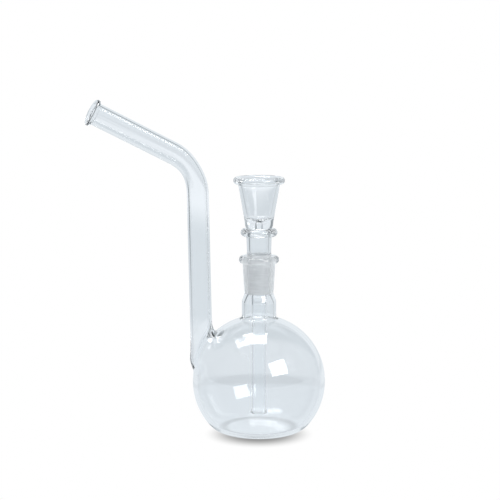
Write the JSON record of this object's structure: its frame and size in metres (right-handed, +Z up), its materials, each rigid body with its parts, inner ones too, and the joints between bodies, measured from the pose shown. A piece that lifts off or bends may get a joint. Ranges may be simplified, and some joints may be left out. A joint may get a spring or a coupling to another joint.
{
  "type": "glass water pipe",
  "caption": "Flat-bottomed round glass flask with a ground neck socket, a bent side mouthpiece tube and a lift-out bowl insert with downstem.",
  "frame": {"origin": "centre of the flask's flat foot, on the plane it stands on", "axes": "+Z up along the flask's neck, -X towards the mouthpiece tube, Y across"},
  "size_m": [0.1454, 0.08, 0.2019],
  "materials": {
    "clear_glass": "clear borosilicate glass, fire polished",
    "ground_glass": "clear borosilicate glass with ground, frosted mating faces"
  },
  "bodies": {
    "flask": {"flask_bulb": "clear_glass", "neck_socket": "ground_glass", "mouthpiece_tube": "clear_glass"},
    "bowl_insert": {"joint_cone": "ground_glass", "downstem_tube": "clear_glass", "bowl_collar": "clear_glass", "bowl_cup": "clear_glass"}
  },
  "joints": [
    {"name": "insert_lift", "type": "slide", "parent": "flask", "child": "bowl_insert", "axis": [0, 0, 1], "range_m": [0, 0.105]}
  ]
}
